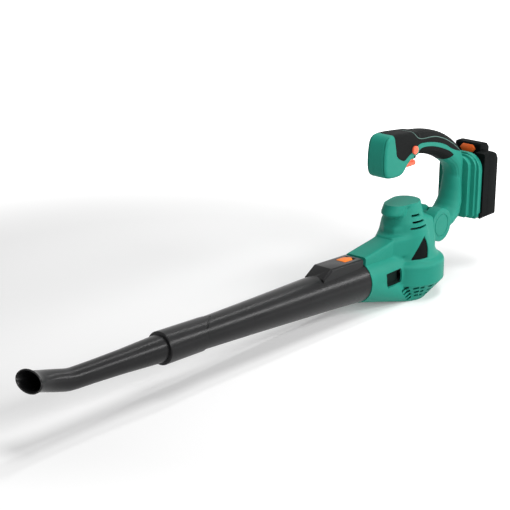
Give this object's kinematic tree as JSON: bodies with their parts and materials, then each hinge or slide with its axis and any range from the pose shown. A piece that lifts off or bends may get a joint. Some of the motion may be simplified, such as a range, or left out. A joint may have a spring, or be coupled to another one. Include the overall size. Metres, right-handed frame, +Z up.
{
  "type": "leaf blower",
  "caption": "Cordless leaf blower: round fan housing with motor tower, swivelling C-shaped handle carrying a slide-on battery, and a two-piece tube with bent flared nozzle.",
  "frame": {"origin": "on the ground under the fan axis, at the centre of the flat base", "axes": "+Z up along the fan axis, -X towards the nozzle, +X towards the battery, -Y the user's left"},
  "size_m": [0.8696, 0.11, 0.2399],
  "materials": {
    "green_shell": "fine satin moulded plastic",
    "black_plastic": "satin moulded plastic",
    "tube_plastic": "soft sheen moulded plastic",
    "dark_insert": "matt",
    "soft_grip": "matt soft-touch",
    "orange_button": "satin moulded plastic",
    "steel": "zinc plated",
    "magnet": "sintered",
    "cell": "shrink-wrapped",
    "circuit_board": "solder mask"
  },
  "bodies": {
    "housing": {"housing_left": "green_shell", "housing_right": "green_shell", "intake_cover": "green_shell", "tower_cap": "green_shell", "side_pocket_left": "dark_insert", "side_pocket_right": "dark_insert", "vane_insert_left": "dark_insert", "vane_insert_right": "dark_insert", "motor_mount": "black_plastic", "motor_can": "steel", "motor_magnets": "magnet", "motor_end_bell": "black_plastic", "motor_screws": "steel", "housing_screws": "steel"},
    "fan": {"rotor": "steel", "fan_impeller": "black_plastic", "fan_nut": "steel"},
    "tube": {"rear_tube": "tube_plastic", "latch_spring": "steel"},
    "latch": {"latch_button": "orange_button"},
    "nozzle": {"nozzle_tube": "tube_plastic"},
    "handle": {"handle_left": "green_shell", "handle_right": "green_shell", "hinge_bolt": "steel", "grip_cover": "soft_grip", "grip_pad": "soft_grip", "switch_body": "black_plastic", "control_board": "circuit_board", "terminal_block": "black_plastic", "handle_screws": "steel", "trigger_spring": "steel"},
    "trigger": {"trigger": "orange_button"},
    "lock_button": {"lock_button": "orange_button"},
    "battery": {"battery_front": "black_plastic", "battery_rear": "black_plastic", "battery_cells": "cell", "battery_board": "circuit_board"},
    "release_key": {"release_key": "orange_button"}
  },
  "joints": [
    {"name": "fan_spin", "type": "hinge", "parent": "housing", "child": "fan", "pos_m": [0, 0, 0.04], "axis": [0, 0, 1], "continuous": true},
    {"name": "handle_tilt", "type": "hinge", "parent": "housing", "child": "handle", "pos_m": [0.05, 0, 0.0906], "axis": [0, 1, 0], "range_deg": [-20, 30]},
    {"name": "tube_slide", "type": "slide", "parent": "housing", "child": "tube", "axis": [-0.9989, 0, 0.0476], "range_m": [0, 0.03]},
    {"name": "latch_press", "type": "slide", "parent": "tube", "child": "latch", "axis": [-0.0476, 0, -0.9989], "range_m": [0, 0.0025], "stiffness_N_per_m": 800, "springref_m": -0.001, "deforming": ["latch_spring"]},
    {"name": "nozzle_slide", "type": "slide", "parent": "tube", "child": "nozzle", "axis": [-0.9989, 0, 0.0476], "range_m": [0, 0.075]},
    {"name": "trigger_pull", "type": "slide", "parent": "handle", "child": "trigger", "axis": [-0.342, 0, 0.9397], "range_m": [0, 0.003], "stiffness_N_per_m": 1000, "springref_m": -0.001, "deforming": ["trigger_spring"]},
    {"name": "lock_press", "type": "slide", "parent": "handle", "child": "lock_button", "axis": [0, 1, 0], "range_m": [0, 0.0024], "stiffness_N_per_m": 800, "springref_m": -0.001},
    {"name": "battery_slide", "type": "slide", "parent": "handle", "child": "battery", "axis": [0, 0, 1], "range_m": [0, 0.09]},
    {"name": "release_press", "type": "slide", "parent": "battery", "child": "release_key", "axis": [1, 0, 0], "range_m": [0, 0.002], "stiffness_N_per_m": 600, "springref_m": -0.001}
  ]
}
